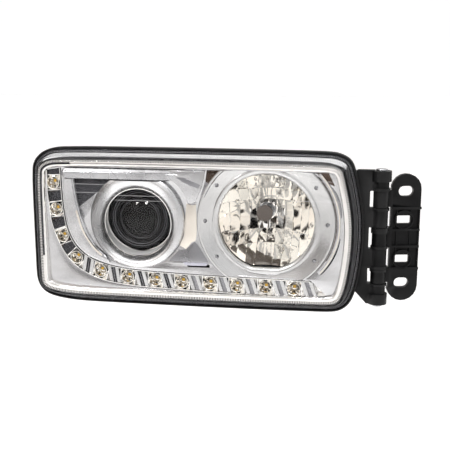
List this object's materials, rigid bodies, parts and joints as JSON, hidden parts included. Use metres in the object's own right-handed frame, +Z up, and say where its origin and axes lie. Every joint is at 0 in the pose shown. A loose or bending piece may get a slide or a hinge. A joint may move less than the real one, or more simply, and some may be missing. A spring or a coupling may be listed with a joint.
{
  "type": "headlamp",
  "caption": "Swing-out vehicle headlamp with projector low beam, reflector high beam and LED day light, turning on a bolt-on hinge bracket.",
  "frame": {"origin": "middle of the hinge bracket's mounting face, between its two bolt slots", "axes": "+X to the right when facing the lamp, along its long side; -Y is the way the lens faces; +Z up"},
  "size_m": [0.5885, 0.2016, 0.2424],
  "materials": {
    "black_plastic": "fine-grained moulded black",
    "satin_black": "satin moulded black",
    "steel": "plated",
    "driver_case": "cast, matt",
    "seal_foam": "matt",
    "clear_polycarbonate": "clear, hard-coated",
    "bezel_silver": "metallised satin silver",
    "satin_silver": "satin silver",
    "mirror_plastic": "vacuum-metallised mirror",
    "board": "solder resist",
    "emitter": "yellow phosphor on white",
    "projector_glass": "polished",
    "bulb_glass": "polished",
    "grey_plastic": "moulded grey",
    "cap_grey": "satin brown-grey",
    "white_plastic": "natural nylon",
    "pin_brass": "plated",
    "rubber": "matt"
  },
  "bodies": {
    "bracket": {"hinge_bracket": "satin_black", "hinge_pin": "steel"},
    "lamp_body": {"housing": "black_plastic", "lamp_hinge_leaf": "satin_black", "hinge_leaf_screw_1": "steel", "hinge_leaf_screw_2": "steel", "hinge_leaf_screw_3": "steel", "outer_lens": "clear_polycarbonate", "lens_seal": "seal_foam", "bezel": "bezel_silver", "bezel_top_bar": "satin_silver", "drl_inner_blade": "satin_silver", "projector_trim_ring": "satin_silver", "high_beam_trim_ring": "mirror_plastic", "high_beam_arc_trim": "satin_silver", "drl_reflector": "mirror_plastic", "drl_circuit_board": "board", "led_01": "emitter", "led_02": "emitter", "led_03": "emitter", "led_04": "emitter", "led_05": "emitter", "led_06": "emitter", "led_07": "emitter", "led_08": "emitter", "led_09": "emitter", "led_10": "emitter", "led_11": "emitter", "led_12": "emitter", "pivot_ball_stud": "steel", "levelling_motor": "black_plastic", "aim_screw_bushing": "white_plastic", "connector_socket": "black_plastic", "connector_pins": "pin_brass", "drl_driver": "driver_case", "breather_vent": "rubber"},
    "pivot_socket": {"pivot_socket_insert": "white_plastic"},
    "beam_carrier": {"aim_frame": "grey_plastic", "projector_lens": "projector_glass", "projector_lens_holder": "black_plastic", "cutoff_shade": "steel", "projector_reflector": "mirror_plastic", "low_beam_bulb_glass": "bulb_glass", "low_beam_bulb_base": "steel", "low_beam_bulb_retainer": "steel", "high_beam_reflector": "mirror_plastic", "high_beam_bulb_glass": "bulb_glass", "high_beam_bulb_base": "steel", "high_beam_bulb_retainer": "steel", "glare_cap": "cap_grey"},
    "levelling_push_rod": {"levelling_rod": "white_plastic"},
    "horizontal_screw": {"horizontal_aim_screw": "steel"},
    "low_cover_slider": {"low_beam_cover_seal": "rubber"},
    "low_cover": {"low_beam_cover": "black_plastic"},
    "high_cover_slider": {"high_beam_cover_seal": "rubber"},
    "high_cover": {"high_beam_cover": "black_plastic"}
  },
  "joints": [
    {"name": "lamp_swing", "type": "hinge", "parent": "bracket", "child": "lamp_body", "pos_m": [-0.03238, -0.01979, 0], "axis": [0, 0, 1], "range_deg": [0, 80]},
    {"name": "beam_aim_sideways", "type": "hinge", "parent": "lamp_body", "child": "pivot_socket", "pos_m": [-0.29338, 0.03221, 0.0835], "axis": [0, 0, 1], "range_deg": [-2, 2]},
    {"name": "beam_aim_height", "type": "hinge", "parent": "pivot_socket", "child": "beam_carrier", "pos_m": [-0.29338, 0.03221, 0.0835], "axis": [1, 0, 0], "range_deg": [-2.5, 2.5]},
    {"name": "levelling_push", "type": "slide", "parent": "lamp_body", "child": "levelling_push_rod", "axis": [0, 1, 0], "range_m": [-0.0065, 0.0065]},
    {"name": "sideways_screw_travel", "type": "slide", "parent": "lamp_body", "child": "horizontal_screw", "axis": [0, 1, 0], "range_m": [-0.0068, 0.0068]},
    {"name": "low_cover_pull", "type": "slide", "parent": "lamp_body", "child": "low_cover_slider", "axis": [0, 1, 0], "range_m": [0, 0.04]},
    {"name": "low_cover_twist", "type": "hinge", "parent": "low_cover_slider", "child": "low_cover", "pos_m": [-0.38938, 0.10821, 0.0215], "axis": [0, 1, 0], "range_deg": [0, 35]},
    {"name": "high_cover_pull", "type": "slide", "parent": "lamp_body", "child": "high_cover_slider", "axis": [0, 1, 0], "range_m": [0, 0.04]},
    {"name": "high_cover_twist", "type": "hinge", "parent": "high_cover_slider", "child": "high_cover", "pos_m": [-0.19638, 0.10821, 0.0235], "axis": [0, 1, 0], "range_deg": [0, 35]}
  ],
  "couplings": [
    {"joint": "levelling_push", "follows": "beam_aim_height", "m_per_rad": 0.138},
    {"joint": "sideways_screw_travel", "follows": "beam_aim_sideways", "m_per_rad": 0.182}
  ]
}
